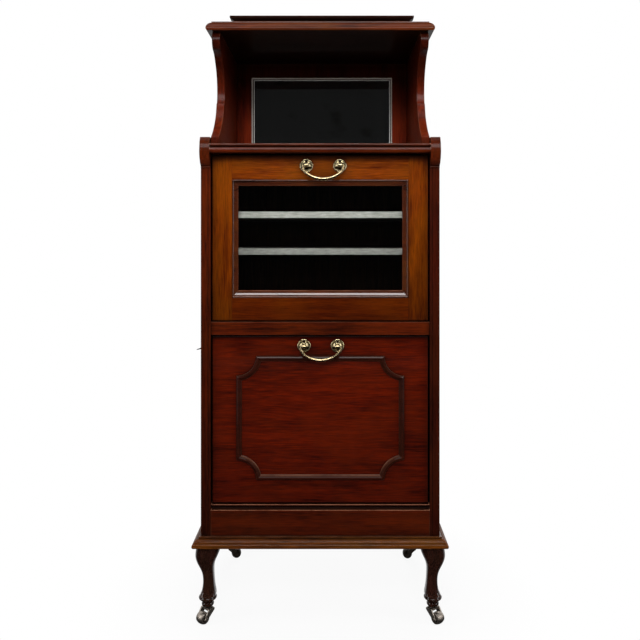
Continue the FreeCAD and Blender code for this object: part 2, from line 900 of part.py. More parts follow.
# Castors, drawn with the swivel on the origin and the wheel trailing along X
flange_bottom = castor_height - flange_thickness
crown_top = flange_bottom - swivel_slack
crown_bottom = crown_top - crown_thickness
rivet_top = crown_bottom - swivel_slack
castor_pin = turned(
    (0, rivet_top - rivet_thickness), (rivet_radius, rivet_top - rivet_thickness), (rivet_radius, rivet_top),
    (king_radius, rivet_top), (king_radius, flange_bottom), (flange_radius, flange_bottom),
    (flange_radius, castor_height), (spigot_radius, castor_height),
    (spigot_radius, castor_height + spigot_length), (0, castor_height + spigot_length))
arm_inner = wheel_half + arm_gap
arm_outer = arm_inner + arm_thickness
crown = Part.makeBox(
    2 * crown_reach, 2 * arm_outer, crown_thickness, FreeCAD.Vector(-crown_reach, -arm_outer, crown_bottom))
arm_face = Part.Face(outline(
    lambda x, z: FreeCAD.Vector(x, arm_inner, z),
    (-crown_reach, crown_bottom), (-crown_reach, crown_top), (crown_reach, crown_top),
    (castor_trail + arm_end, wheel_radius),
    ((castor_trail, wheel_radius - arm_end), (castor_trail - arm_end, wheel_radius))))
arm = arm_face.extrude(FreeCAD.Vector(0, arm_thickness, 0))
other_arm = arm.mirror(FreeCAD.Vector(0, 0, 0), FreeCAD.Vector(0, 1, 0))


def axle_bar(radius, reach):
    """Bar about the wheel's axis, reaching the same way to both sides."""
    return rod(
        radius, FreeCAD.Vector(castor_trail, -reach, wheel_radius),
        FreeCAD.Vector(castor_trail, reach, wheel_radius))


axle_heads = axle_bar(axle_head_radius, arm_outer + axle_head).cut(axle_bar(axle_head_radius, arm_outer))
king_hole = rod(
    king_radius + running_fit, FreeCAD.Vector(0, 0, crown_bottom), FreeCAD.Vector(0, 0, crown_top))
castor_fork = crown.fuse([arm, other_arm, axle_heads, axle_bar(axle_radius, arm_outer)]).cut(king_hole)
wheel_bore = axle_radius + running_fit
tread_edge = wheel_radius - wheel_crown
castor_wheel = turned(
    (wheel_bore, -wheel_half), (tread_edge, -wheel_half), ((wheel_radius, 0), (tread_edge, wheel_half)),
    (wheel_bore, wheel_half))
castor_wheel.rotate(FreeCAD.Vector(0, 0, 0), FreeCAD.Vector(1, 0, 0), 90)
castor_wheel.translate(FreeCAD.Vector(castor_trail, 0, wheel_radius))

# Corners of the cabinet, each with the way that its castor has swung, in degrees
CORNERS = {"front_left": 230, "front_right": 310, "rear_left": 15, "rear_right": 176}
legs = {"front": [], "rear": []}
castor_pins = []
forks = {}
wheels = {}
for name, swing in CORNERS.items():
    row, side = name.split("_")
    corner_leg = front_leg if row == "front" else rear_leg
    leg_x = body_half - (leg_inset if row == "front" else rear_leg_inset)
    leg_depth = front_leg_depth if row == "front" else body_depth - rear_leg_depth
    if side == "left":
        corner_leg = mirrored(corner_leg)
        leg_x = -leg_x
    spot = vec(leg_x, leg_depth, 0)
    legs[row].append(corner_leg.translated(spot))
    base_board = base_board.cut(mortise.translated(spot))
    castor_pins.append(castor_pin.translated(spot))
    axis = FreeCAD.Vector(0, 0, 1)
    forks[name] = castor_fork.rotated(FreeCAD.Vector(0, 0, 0), axis, swing).translated(spot)
    wheels[name] = castor_wheel.rotated(FreeCAD.Vector(0, 0, 0), axis, swing).translated(spot)

nodes = {
    "pilaster_left": [pilaster_left],
    "pilaster_right": [pilaster],
    "side_panel_left": [mirrored(side_panel)],
    "side_panel_right": [side_panel],
    "display_shelf": [display_shelf],
    "shelf_nosing": [shelf_nosing],
    "mid_rail": [mid_rail],
    "divider_board": [divider_board],
    "bottom_board": [bottom_board],
    "bottom_bead_rail": [bead_rail],
    "plinth_front": [plinth_front],
    "back_boards": back_boards,
    "base_board": [base_board],
    "base_moulding_front": [base_moulding_front],
    "base_moulding_sides": both(base_moulding_side),
    "upper_side_left": [mirrored(upper_side)],
    "upper_side_right": [upper_side],
    "mirror_frame": mirror_frame,
    "mirror_glass": [mirror_glass],
    "mirror_backboard": [mirror_backboard],
    "canopy_board": [canopy_board],
    "back_gallery": [back_gallery],
    "gallery_capping": [gallery_capping],
    "front_legs": legs["front"],
    "rear_legs": legs["rear"],
    "castor_pins": castor_pins,
    "music_shelves": music_shelves,
    "shelf_cleats": shelf_cleats,
    "pivot_bushes": bushes,
    "stay_guides": stay_guides,
    "door_stops": door_stops,
    "side_hook": [hook],
    "upper_fall_stiles": upper_stiles,
    "upper_fall_rails": [foot, head],
    "glazing_moulding": glazing_moulding,
    "glass_pane": [glass_pane],
    "glazing_fillets": glazing_fillets,
    "lower_fall_panel": [lower_panel],
    "lower_fall_moulding": [lower_bead],
}
for name, bottom, handle in (("upper", upper_bottom, upper_handle), ("lower", lower_bottom, lower_handle)):
    nodes[name + "_pivot_pins"] = pivot_pins(bottom)
    nodes[name + "_stays"] = both(stay(bottom))
    nodes[name + "_handle_roses"] = [handle.rose(x) for x in handle.posts_x]
    nodes[name + "_handle_posts"] = [handle.post(x) for x in handle.posts_x]
    nodes[name + "_bail"] = [handle.bail()]
for name in CORNERS:
    nodes["castor_fork_" + name] = [forks[name]]
    nodes["castor_wheel_" + name] = [wheels[name]]

os.makedirs("parts", exist_ok=True)
for name, solids in nodes.items():
    shape = solids[0] if len(solids) == 1 else Part.makeCompound(solids)
    shape.exportStep("parts/" + name + ".step")
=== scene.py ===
import logging
import math
from dataclasses import dataclass
from enum import Enum
from typing import Any, Optional

import bmesh
import bpy
from mathutils import Color, Matrix, Vector


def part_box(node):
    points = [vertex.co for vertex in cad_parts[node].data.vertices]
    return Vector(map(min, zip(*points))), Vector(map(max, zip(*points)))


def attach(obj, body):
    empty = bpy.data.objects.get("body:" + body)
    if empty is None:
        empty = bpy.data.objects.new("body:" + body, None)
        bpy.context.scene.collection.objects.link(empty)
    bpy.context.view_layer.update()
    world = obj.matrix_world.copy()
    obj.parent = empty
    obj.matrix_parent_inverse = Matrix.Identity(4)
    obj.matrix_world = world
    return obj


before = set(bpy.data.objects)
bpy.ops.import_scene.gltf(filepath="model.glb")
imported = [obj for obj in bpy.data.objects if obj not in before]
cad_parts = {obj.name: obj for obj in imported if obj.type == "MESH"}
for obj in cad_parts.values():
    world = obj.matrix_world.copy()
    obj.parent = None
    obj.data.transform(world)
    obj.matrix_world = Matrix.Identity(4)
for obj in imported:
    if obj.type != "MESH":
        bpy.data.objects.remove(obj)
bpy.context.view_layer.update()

LOG = logging.getLogger("music_cabinet")

Triple = tuple[float, float, float]
Colour = Triple
Span = tuple[float, float]
Socket = bpy.types.NodeSocket

MM = 0.001
QUARTER_TURN = math.pi / 2
DISPLAY_WHITE = 255
WHITE: Colour = (1.0, 1.0, 1.0)
RISING: Span = (0.0, 1.0)
FALLING: Span = (1.0, 0.0)

# Socket types of the node groups, and the sockets that a Mix node uses for colours
FLOAT, VECTOR = "NodeSocketFloat", "NodeSocketVector"
MIX_SHARE, MIX_FIRST, MIX_SECOND, MIX_RESULT = 0, 6, 7, 2


def shade(red: int, green: int, blue: int) -> Colour:
    """Linear colour from display values.

    Args:
        red: Display red, 0 to 255.
        green: Display green, 0 to 255.
        blue: Display blue, 0 to 255.

    Returns:
        The colour in linear light.
    """
    display = Color((red / DISPLAY_WHITE, green / DISPLAY_WHITE, blue / DISPLAY_WHITE))
    return tuple(display.from_srgb_to_scene_linear())


def grey(value: float) -> Colour:
    """Neutral tone of one strength."""
    return value, value, value


def opaque(colour: Any) -> Any:
    """Adds full opacity to a colour, and leaves an output as it is."""
    return (*colour, 1.0) if isinstance(colour, tuple) else colour


class Grain(Enum):
    """Way that the grain of a board runs, as the turn that lays it along X."""

    ACROSS = (0.0, 0.0, 0.0)
    DEEP = (0.0, 0.0, QUARTER_TURN)
    UPRIGHT = (0.0, QUARTER_TURN, 0.0)


@dataclass(frozen=True)
class Waves:
    """Noise with its waves for each metre along X, Y and Z."""

    rate: Triple
    detail: float
    distortion: float = 0.0


class Tree:
    """Adds nodes and links to one node tree."""

    def __init__(self, tree: bpy.types.NodeTree) -> None:
        """Keeps the tree to work on."""
        self.tree = tree

    def feed(self, node: bpy.types.Node, inputs: dict[Any, Any]) -> None:
        """Sets or links the inputs of a node.

        Args:
            node: Node to feed.
            inputs: Sockets by name or number, each with a value or an output to link.
        """
        for key, value in inputs.items():
            if isinstance(value, Socket):
                self.tree.links.new(value, node.inputs[key])
            else:
                node.inputs[key].default_value = value

    def node(self, kind: str, inputs: Optional[dict[Any, Any]] = None, **settings: Any) -> bpy.types.Node:
        """Adds one node.

        Args:
            kind: Type name of the node.
            inputs: Sockets by name or number, each with a value or an output to link.
            settings: Properties of the node.

        Returns:
            The new node.
        """
        node = self.tree.nodes.new(kind)
        for key, value in settings.items():
            setattr(node, key, value)
        self.feed(node, inputs or {})
        return node

    def group(self, effect: bpy.types.NodeTree, inputs: dict[str, Socket]) -> Any:
        """Places a shared effect, and gives its outputs by name."""
        return self.node("ShaderNodeGroup", inputs, node_tree=effect).outputs

    def math(self, operation: str, *values: Any) -> Socket:
        """Adds one operation on numbers or outputs, and gives its result."""
        return self.node("ShaderNodeMath", dict(enumerate(values)), operation=operation).outputs[0]

    def axes(self, vector: Socket) -> Any:
        """Splits a vector, and gives its X, Y and Z by name."""
        return self.node("ShaderNodeSeparateXYZ", {0: vector}).outputs

    def length(self, vector: Socket) -> Socket:
        """Gives the length of a vector."""
        return self.node("ShaderNodeVectorMath", {0: vector}, operation="LENGTH").outputs["Value"]

    def noise(self, vector: Socket, waves: Waves) -> Socket:
        """Adds a noise that is stretched along the axes.

        Args:
            vector: Coordinates in metres.
            waves: How fast it changes along each axis, and its finer detail.

        Returns:
            The noise value, from 0 to 1.
        """
        place = self.node("ShaderNodeVectorMath", {0: vector, 1: waves.rate}, operation="MULTIPLY")
        return self.node("ShaderNodeTexNoise", {
            "Vector": place.outputs[0], "Scale": 1.0, "Detail": waves.detail,
            "Distortion": waves.distortion}).outputs[0]

    def remap(self, value: Socket, span: Span, result: Span = RISING) -> Socket:
        """Stretches a range of values.

        Args:
            value: Output to stretch.
            span: Values at which the result starts and ends.
            result: What it starts and ends with.

        Returns:
            The stretched value.
        """
        (low, high), (start, end) = span, result
        return self.node("ShaderNodeMapRange", {
            "Value": value, "From Min": low, "From Max": high, "To Min": start, "To Max": end}).outputs[0]

    def mix(self, share: Any, first: Any, second: Any, blend: str = "MIX") -> Socket:
        """Mixes two colours.

        Args:
            share: Share of the second colour.
            first: First colour or output.
            second: Second colour or output.
            blend: Way of blending.

        Returns:
            The mixed colour.
        """
        inputs = {MIX_SHARE: share, MIX_FIRST: opaque(first), MIX_SECOND: opaque(second)}
        return self.node("ShaderNodeMix", inputs, data_type="RGBA", blend_type=blend).outputs[MIX_RESULT]

    def choose(self, share: Socket, first: bpy.types.Node, second: bpy.types.Node) -> Socket:
        """Mixes two shaders.

        Args:
            share: Share of the second shader.
            first: First shader.
            second: Second shader.

        Returns:
            The mixed shader.
        """
        choices = (share, first.outputs[0], second.outputs[0])
        return self.node("ShaderNodeMixShader", dict(enumerate(choices))).outputs[0]

    def openness(self, reach: float, samples: int, **settings: Any) -> Socket:
        """Tells open surfaces from hollows or, inside the piece, its faces from its edges.

        Args:
            reach: How far it looks.
            samples: Number of rays.
            settings: Properties of the node.

        Returns:
            1 where nothing is in reach, and less where much is.
        """
        return self.node("ShaderNodeAmbientOcclusion", {"Distance": reach}, samples=samples,
                         **settings).outputs["AO"]

    def eased(self, radius: float, samples: int) -> Socket:
        """Gives a normal that rounds the edges."""
        return self.node("ShaderNodeBevel", {"Radius": radius}, samples=samples).outputs[0]


def new_group(name: str, inputs: dict[str, str], outputs: dict[str, str]) -> tuple[Tree, Any, bpy.types.Node]:
    """Starts a node group.

    Args:
        name: Name of the group.
        inputs: Socket types by input name.
        outputs: Socket types by output name.

    Returns:
        The tree helper, what the group is given by name, and its output node.
    """
    group = bpy.data.node_groups.new(name, "ShaderNodeTree")
    for direction, sockets in (("INPUT", inputs), ("OUTPUT", outputs)):
        for socket, kind in sockets.items():
            group.interface.new_socket(socket, in_out=direction, socket_type=kind)
    tree = Tree(group)
    return tree, tree.node("NodeGroupInput").outputs, tree.node("NodeGroupOutput")


@dataclass(frozen=True)
class TimberFigure:
    """Grain of a board whose length lies along X."""

    cloud: Waves = Waves((3.0, 9.0, 9.0), 4.0, 1.2)
    ribbon: Waves = Waves((5.0, 85.0, 85.0), 5.0, 0.5)
    thread: Waves = Waves((26.0, 420.0, 420.0), 3.0)
    cloud_share: float = 0.22
    ribbon_share: float = 0.36
    thread_share: float = 0.42
    tone_span: Span = (0.38, 0.62)
    patch: Waves = Waves((7.0, 12.0, 12.0), 3.0, 0.6)
    warmth_span: Span = (0.42, 0.68)
    fleck: Waves = Waves((60.0, 1300.0, 1300.0), 1.0)
    pore_span: Span = (0.56, 0.70)

    def group(self) -> bpy.types.NodeTree:
        """Builds the effect.

        Returns:
            A group that gives the tone and the warmth of the figure and the dark pores.
        """
        tree, given, end = new_group(
            "Timber figure", {"Grain": VECTOR}, {"Tone": FLOAT, "Warmth": FLOAT, "Pores": FLOAT})
        grain = given["Grain"]
        cloud = tree.math("MULTIPLY", tree.noise(grain, self.cloud), self.cloud_share)
        ribbon = tree.math("MULTIPLY", tree.noise(grain, self.ribbon), self.ribbon_share)
        thread = tree.math("MULTIPLY", tree.noise(grain, self.thread), self.thread_share)
        tone = tree.math("ADD", tree.math("ADD", cloud, ribbon), thread)
        tree.feed(end, {
            "Tone": tree.remap(tone, self.tone_span),
            "Warmth": tree.remap(tree.noise(grain, self.patch), self.warmth_span),
            "Pores": tree.remap(tree.noise(grain, self.fleck), self.pore_span)})
        return tree.tree


@dataclass(frozen=True)
class WearAndShade:
    """Eased and worn edges with painted highlights, painted shade with some soiling in the hollows, and
    painted shade on the undersides.
    """

    hollow_reach: float = 35 * MM
    hollow_samples: int = 8
    hollow_span: Span = (0.55, 0.97)
    patch: Waves = Waves((35.0, 35.0, 35.0), 3.0)
    grime_and_shade_patch: Span = (0.25, 0.6)
    grime_and_shade_share: Span = (0.7, 1.0)
    edge_radius: float = 1.7 * MM
    edge_samples: int = 6
    arris_reach: float = 3 * MM
    arris_samples: int = 8
    arris_span: Span = (0.92, 0.6)
    worn_and_lit_patch: Span = (0.35, 0.6)
    worn_and_lit_share: Span = (0.4, 1.0)
    upward_span: Span = (0.1, 0.5)
    upward_share: Span = (0.06, 1.0)
    underside_shade_span: Span = (-0.95, -0.7)
    pore_strength: float = 0.25
    pore_depth: float = 0.15 * MM

    def group(self) -> bpy.types.NodeTree:
        """Builds the effect.

        Returns:
            A group that gives masks of the painted shade with some soiling in the hollows, of the worn edges
            with their painted highlights and of the painted shade on the undersides, and a normal.
        """
        tree, given, end = new_group(
            "Wear and painted shade", {"Vector": VECTOR, "Height": FLOAT},
            {"Grime and shade": FLOAT, "Worn and lit edges": FLOAT, "Underside shade": FLOAT, "Normal": VECTOR})
        patch = tree.noise(given["Vector"], self.patch)
        # Painted shade: darkening wherever other surfaces stand within reach, in patches, with some soiling
        hollows = tree.remap(tree.openness(self.hollow_reach, self.hollow_samples), self.hollow_span, FALLING)
        grime_and_shade = tree.math("MULTIPLY", hollows, tree.remap(patch, self.grime_and_shade_patch, self.grime_and_shade_share))
        eased = tree.eased(self.edge_radius, self.edge_samples)
        arris = tree.openness(self.arris_reach, self.arris_samples, inside=True, only_local=True)
        worn_and_lit = tree.math("MULTIPLY", tree.remap(arris, self.arris_span),
                           tree.remap(patch, self.worn_and_lit_patch, self.worn_and_lit_share))
        # Painted highlight: worn edges lighten only where they face up, as if lit from above
        upward = tree.remap(tree.axes(eased)["Z"], self.upward_span, self.upward_share)
        flat = tree.node("ShaderNodeNewGeometry").outputs["True Normal"]
        bump = tree.node("ShaderNodeBump", {
            "Strength": self.pore_strength, "Distance": self.pore_depth, "Height": given["Height"],
            "Normal": eased})
        tree.feed(end, {
            "Grime and shade": grime_and_shade,
            "Worn and lit edges": tree.math("MULTIPLY", worn_and_lit, upward),
            # Painted shade on faces that look down
            "Underside shade": tree.remap(tree.axes(flat)["Z"], self.underside_shade_span, FALLING),
            "Normal": bump.outputs[0]})
        return tree.tree


@dataclass(frozen=True)
class Tarnish:
    """Dulling of metal in hollows and patches."""

    hollow_reach: float = 5 * MM
    hollow_samples: int = 4
    hollow_span: Span = (0.35, 0.92)
    patch: Waves = Waves((160.0, 160.0, 160.0), 4.0)
    patch_span: Span = (0.5, 0.75)
    patch_share: Span = (0.0, 0.6)
    edge_radius: float = 0.5 * MM
    edge_samples: int = 4

    def group(self) -> bpy.types.NodeTree:
        """Builds the effect.

        Returns:
            A group that gives a tarnish mask and a normal.
        """
        tree, given, end = new_group("Tarnish", {"Vector": VECTOR}, {"Dull": FLOAT, "Normal": VECTOR})
        hollows = tree.remap(tree.openness(self.hollow_reach, self.hollow_samples), self.hollow_span, FALLING)
        patches = tree.remap(tree.noise(given["Vector"], self.patch), self.patch_span, self.patch_share)
        tree.feed(end, {
            "Dull": tree.math("MAXIMUM", hollows, patches),
            "Normal": tree.eased(self.edge_radius, self.edge_samples)})
        return tree.tree


@dataclass(frozen=True)
class RoseShade:
    """Painted shade round the three piercings of a rose and painted shadow under its post."""

    piercings: float = 3.0
    lobe_span: Span = (-0.3, -0.8)
    ring_radius: float = 9.5 * MM
    ring_span: Span = (4.5 * MM, 2.8 * MM)
    post_shadow_span: Span = (-1.0 * MM, -4.0 * MM)
    post_span: Span = (10.5 * MM, 7.5 * MM)

    def group(self) -> bpy.types.NodeTree:
        """Builds the effect.

        Returns:
            A group that takes the place from the rose's middle and gives a mask of the painted shade.
        """
        tree, given, end = new_group("Rose painted shade", {"Vector": VECTOR}, {"Painted shade": FLOAT})
        axes = tree.axes(given["Vector"])
        radius = tree.length(given["Vector"])
        # Painted shade round the three piercings
        angle = tree.math("MULTIPLY", tree.math("ARCTAN2", axes["Z"], axes["X"]), self.piercings)
        lobes = tree.remap(tree.math("SINE", angle), self.lobe_span)
        ring = tree.math("ABSOLUTE", tree.math("SUBTRACT", radius, self.ring_radius))
        around = tree.math("MULTIPLY", lobes, tree.remap(ring, self.ring_span))
        # Painted shadow under the post
        below = tree.math("MULTIPLY", tree.remap(axes["Z"], self.post_shadow_span),
                          tree.remap(radius, self.post_span))
        tree.feed(end, {"Painted shade": tree.math("MAXIMUM", around, below)})
        return tree.tree


FIGURE = TimberFigure().group()
WEAR_AND_SHADE = WearAndShade().group()
TARNISH = Tarnish().group()
ROSE_SHADE = RoseShade().group()


def background_ray(tree: Tree) -> Socket:
    """Tells rays that see the background, also by way of metal or glass.

    Args:
        tree: Tree of the floor's material or of the world.

    Returns:
        1 for a ray that sees the background, and 0 for one that takes light from it.
    """
    ray = tree.node("ShaderNodeLightPath").outputs
    seen = tree.math("MAXIMUM", ray["Is Camera Ray"], ray["Is Glossy Ray"])
    return tree.math("MAXIMUM", seen, ray["Is Transmission Ray"])


def new_material(name: str) -> tuple[bpy.types.Material, Tree, bpy.types.Node, Socket]:
    """Starts a material with one principled shader.

    Args:
        name: Name of the finish.

    Returns:
        The material, its tree helper, its principled shader and the object coordinates.
    """
    material = bpy.data.materials.new(name)
    material.use_nodes = True
    tree = Tree(material.node_tree)
    shader = material.node_tree.nodes["Principled BSDF"]
    return material, tree, shader, tree.node("ShaderNodeTexCoord").outputs["Object"]


def show_shader(material: bpy.types.Material, tree: Tree, shader: Socket) -> None:
    """Makes a mixed shader the surface of a material."""
    tree.feed(material.node_tree.nodes["Material Output"], {"Surface": shader})


@dataclass(frozen=True)
class Fade:
    """Tone of a board that fades out between two distances below the head of a node."""

    node: str
    toned: float
    plain: float
    tone: Colour

    def over(self, tree: Tree, height: Socket, colour: Socket) -> Socket:
        """Lays the tone over a colour.

        Args:
            tree: Tree of the material.
            height: Height above the floor.
            colour: Colour to tone.

        Returns:
            The toned colour.
        """
        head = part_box(self.node)[1][2]
        share = tree.remap(height, (head - self.toned, head - self.plain))
        return tree.mix(1.0, colour, tree.mix(share, self.tone, WHITE), "MULTIPLY")


@dataclass(frozen=True)
class Timber:
    """Polished timber."""

    name: str
    grain: Grain
    dark: Colour
    light: Colour
    seed: float
    roughness: float = 0.42
    coat: float = 0.25
    coat_roughness: float = 0.1
    grime_and_shade: float = 0.85
    worn_and_lit: float = 0.5
    warmth: float = 0.45
    fades: tuple[Fade, ...] = ()
    seed_step: Triple = (1.7, 0.9, 2.3)
    warmer: Triple = (1.05, 1.5, 1.0)
    pores: Colour = (0.01, 0.004, 0.002)
    pore_share: float = 0.35
    pore_roughness: float = 0.15
    dirt_and_shade: Colour = (0.006, 0.002, 0.001)
    bare_and_highlight: Colour = shade(150, 98, 74)
    specular: float = 0.02

    def colour(self, tree: Tree, place: Socket, figure: Any, wear_and_shade: Any) -> Socket:
        """Lays figure, fades, painted shade with some soiling, and worn edges with painted highlights over
        each other.

        Args:
            tree: Tree of the material.
            place: Object coordinates.
            figure: Outputs of the timber figure.
            wear_and_shade: Outputs of the wear and painted light effect.

        Returns:
            The colour of the board.
        """
        warm = tuple(part * gain for part, gain in zip(self.light, self.warmer))
        colour = tree.mix(figure["Tone"], self.dark, self.light)
        colour = tree.mix(tree.math("MULTIPLY", figure["Warmth"], self.warmth), colour, warm)
        colour = tree.mix(tree.math("MULTIPLY", figure["Pores"], self.pore_share), colour, self.pores)
        height = tree.axes(place)["Z"]
        for fade in self.fades:
            colour = fade.over(tree, height, colour)
        # Painted shade in the hollows and on the undersides, with some soiling, mixed towards near-black
        dirt_and_shade_mask = tree.math("MAXIMUM", wear_and_shade["Grime and shade"], wear_and_shade["Underside shade"])
        colour = tree.mix(tree.math("MULTIPLY", dirt_and_shade_mask, self.grime_and_shade), colour, self.dirt_and_shade)
        # Worn edges lightened towards a pale colour: wear with a painted highlight
        return tree.mix(tree.math("MULTIPLY", wear_and_shade["Worn and lit edges"], self.worn_and_lit), colour, self.bare_and_highlight)

    def material(self) -> bpy.types.Material:
        """Builds the finish.

        Returns:
            The material.
        """
        material, tree, shader, place = new_material(self.name)
        turned = tree.node("ShaderNodeMapping", {
            "Vector": place, "Rotation": self.grain.value,
            "Location": tuple(self.seed * step for step in self.seed_step)})
        figure = tree.group(FIGURE, {"Grain": turned.outputs[0]})
        wear_and_shade = tree.group(WEAR_AND_SHADE, {"Vector": place, "Height": figure["Pores"]})
        rough = (self.roughness, self.roughness + self.pore_roughness)
        tree.feed(shader, {
            "Base Color": self.colour(tree, place, figure, wear_and_shade),
            "Roughness": tree.remap(figure["Pores"], RISING, rough),
            "Normal": wear_and_shade["Normal"],
            "Coat Weight": self.coat,
            "Coat Roughness": self.coat_roughness,
            "Specular IOR Level": self.specular})
        return material


@dataclass(frozen=True)
class ShelfTimber:
    """Shelf board with a pale worn front edge."""

    name: str
    node: str
    board: Colour
    edge: Colour
    edge_dark: Colour
    fade: Fade
    edge_depth: float = 1.5 * MM
    mottle: Waves = Waves((60.0, 90.0, 260.0), 5.0)
    mottle_span: Span = (0.35, 0.65)
    roughness: float = 0.7

    def material(self) -> bpy.types.Material:
        """Builds the finish.

        Returns:
            The material.
        """
        material, tree, shader, place = new_material(self.name)
        axes = tree.axes(place)
        front = tree.math("LESS_THAN", axes["Y"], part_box(self.node)[0][1] + self.edge_depth)
        mottle = tree.remap(tree.noise(place, self.mottle), self.mottle_span)
        edge = self.fade.over(tree, axes["Z"], tree.mix(mottle, self.edge_dark, self.edge))
        tree.feed(shader, {"Base Color": tree.mix(front, self.board, edge), "Roughness": self.roughness})
        return material


@dataclass(frozen=True)
class Metal:
    """Metal that dulls in its hollows."""

    name: str
    bright: Colour
    dull: Colour
    bright_roughness: float
    dull_roughness: float
    metallic: float = 1.0

    def dullness(self, tree: Tree, place: Socket, hollows: Socket) -> Socket:
        """How dull the metal is: plain metal dulls only in its hollows and patches."""
        return hollows

    def material(self) -> bpy.types.Material:
        """Builds the finish.

        Returns:
            The material.
        """
        material, tree, shader, place = new_material(self.name)
        tarnish = tree.group(TARNISH, {"Vector": place})
        dull = self.dullness(tree, place, tarnish["Dull"])
        tree.feed(shader, {
            "Base Color": tree.mix(dull, self.bright, self.dull),
            "Roughness": tree.remap(dull, RISING, (self.bright_roughness, self.dull_roughness)),
            "Normal": tarnish["Normal"],
            "Metallic": self.metallic})
        return material


@dataclass(frozen=True)
class RoseBrass(Metal):
    """Brass of a pair of roses, with painted shade round the piercings and under the post."""

    pair: str = ""
    hollow_share: float = 0.5

    def dullness(self, tree: Tree, place: Socket, hollows: Socket) -> Socket:
        """How dull the roses are, in their hollows and where shade is painted round their piercings and under
        their post.

        Args:
            tree: Tree of the material.
            place: Object coordinates.
            hollows: Mask of the hollows.

        Returns:
            The mask of the tarnished metal and the painted shade.
        """
        low, high = (Vector(corner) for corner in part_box(self.pair))
        middle = (low + high) / 2
        spread = (high.x - low.x - high.z + low.z) / 2
        axes = tree.axes(place)
        across = tree.math("ABSOLUTE", tree.math("SUBTRACT", axes["X"], middle.x))
        local = tree.node("ShaderNodeCombineXYZ", {
            "X": tree.math("SUBTRACT", across, spread), "Z": tree.math("SUBTRACT", axes["Z"], middle.z)})
        rose_shade = tree.group(ROSE_SHADE, {"Vector": local.outputs[0]})
        return tree.math("MAXIMUM", tree.math("MULTIPLY", hollows, self.hollow_share), rose_shade["Painted shade"])


@dataclass(frozen=True)
class Silvering:
    """Old mirror plate."""

    name: str
    silver: Colour
    spot: Colour
    foxing: Waves = Waves((14.0, 14.0, 22.0), 6.0)
    foxing_span: Span = (0.6, 0.8)
    roughness: float = 0.03

    def material(self) -> bpy.types.Material:
        """Builds the finish.

        Returns:
            The material.
        """
        material, tree, shader, place = new_material(self.name)
        foxing = tree.remap(tree.noise(place, self.foxing), self.foxing_span)
        tree.feed(shader, {
            "Base Color": tree.mix(foxing, self.silver, self.spot),
            "Roughness": self.roughness,
            "Metallic": 1.0})
        return material


@dataclass(frozen=True)
class PaneGlass:
    """Clear window glass."""

    name: str
    tint: Colour
    ior: float = 1.45

    def material(self) -> bpy.types.Material:
        """Builds the finish.

        Returns:
            The material, which lets light through to what lies behind it.
        """
        material, tree, shader, _ = new_material(self.name)
        tree.feed(shader, {
            "Base Color": opaque(self.tint),
            "Roughness": 0.0,
            "IOR": self.ior,
            "Transmission Weight": 1.0})
        clear = tree.node("ShaderNodeBsdfTransparent", {"Color": opaque(self.tint)})
        shadow = tree.node("ShaderNodeLightPath").outputs["Is Shadow Ray"]
        show_shader(material, tree, tree.choose(shadow, shader, clear))
        return material


CASE_DARK, CASE_LIGHT = shade(34, 8, 3), shade(86, 26, 5)
PALE_DARK, PALE_LIGHT = shade(74, 25, 2), shade(134, 58, 2)
BASE_DARK, BASE_LIGHT = shade(42, 17, 4), shade(100, 50, 12)
BEAD_DARK, BEAD_LIGHT = shade(24, 7, 4), shade(50, 16, 8)
ROSE_BRIGHT, ROSE_DULL_AND_SHADE = shade(214, 198, 156), shade(20, 18, 8)

# Shadow along the heads of the falls
UPPER_HEAD = Fade("upper_fall_rails", 0.0, 16 * MM, grey(0.08))
LOWER_HEAD = Fade("lower_fall_panel", 0.0, 13 * MM, grey(0.04))

# Painted falloff of light: the pilaster and the case sides darken towards the foot
CASE_UPRIGHT = Timber(
    "case mahogany upright", Grain.UPRIGHT, CASE_DARK, CASE_LIGHT, seed=1.0, coat=0.12, worn_and_lit=0.2,
    fades=(Fade("pilaster_left", 850 * MM, 150 * MM, grey(0.32)),))
# Painted falloff of light darkens the right pilaster towards the foot, and a painted highlight lightens its
# roll at the head
CASE_DARKER = Timber(
    "case mahogany darker", Grain.UPRIGHT, shade(32, 7, 3), shade(66, 18, 6), seed=1.4, coat=0.12, worn_and_lit=0.2,
    fades=(Fade("pilaster_right", 850 * MM, 150 * MM, grey(0.6)),
           Fade("pilaster_right", 52 * MM, 63 * MM, (1.8, 1.9, 1.1))))
CASE_ACROSS = Timber("case mahogany across", Grain.ACROSS, CASE_DARK, CASE_LIGHT, seed=2.0)
# The nosing and the plinth lighten strongly along their worn top edges, as painted highlights
NOSING = Timber("nosing mahogany", Grain.ACROSS, CASE_DARK, CASE_LIGHT, seed=2.2, coat=0.35, worn_and_lit=0.9)
PLINTH_BOARD = Timber(
    "plinth mahogany", Grain.ACROSS, shade(30, 6, 2), shade(74, 20, 3), seed=2.5, worn_and_lit=1.6, warmth=0.3)
CANOPY = Timber(
    "canopy mahogany", Grain.ACROSS, shade(40, 14, 6), shade(94, 38, 15), seed=2.7, coat=0.2, grime_and_shade=0.92,
    worn_and_lit=0.4)
# Lighter than the case mahogany as painted light against the niche's shade, and darker towards the canopy as
# painted shade
NICHE_BOARD = Timber(
    "niche mahogany", Grain.UPRIGHT, shade(54, 12, 4), shade(108, 34, 9), seed=3.0, coat=0.15,
    coat_roughness=0.2, grime_and_shade=0.4, worn_and_lit=0.25,
    fades=(Fade("upper_side_left", 66 * MM, 166 * MM, (0.28, 0.25, 0.3)),))
# Lighter than the case mahogany as painted light against the niche's shade, and darker towards its head as
# the canopy's painted shadow
FRAME_BOARD = Timber(
    "mirror frame mahogany", Grain.UPRIGHT, shade(66, 13, 5), shade(130, 36, 10), seed=3.5, coat=0.1,
    grime_and_shade=0.5, worn_and_lit=0.15, fades=(Fade("mirror_frame", 46 * MM, 176 * MM, grey(0.12)),))
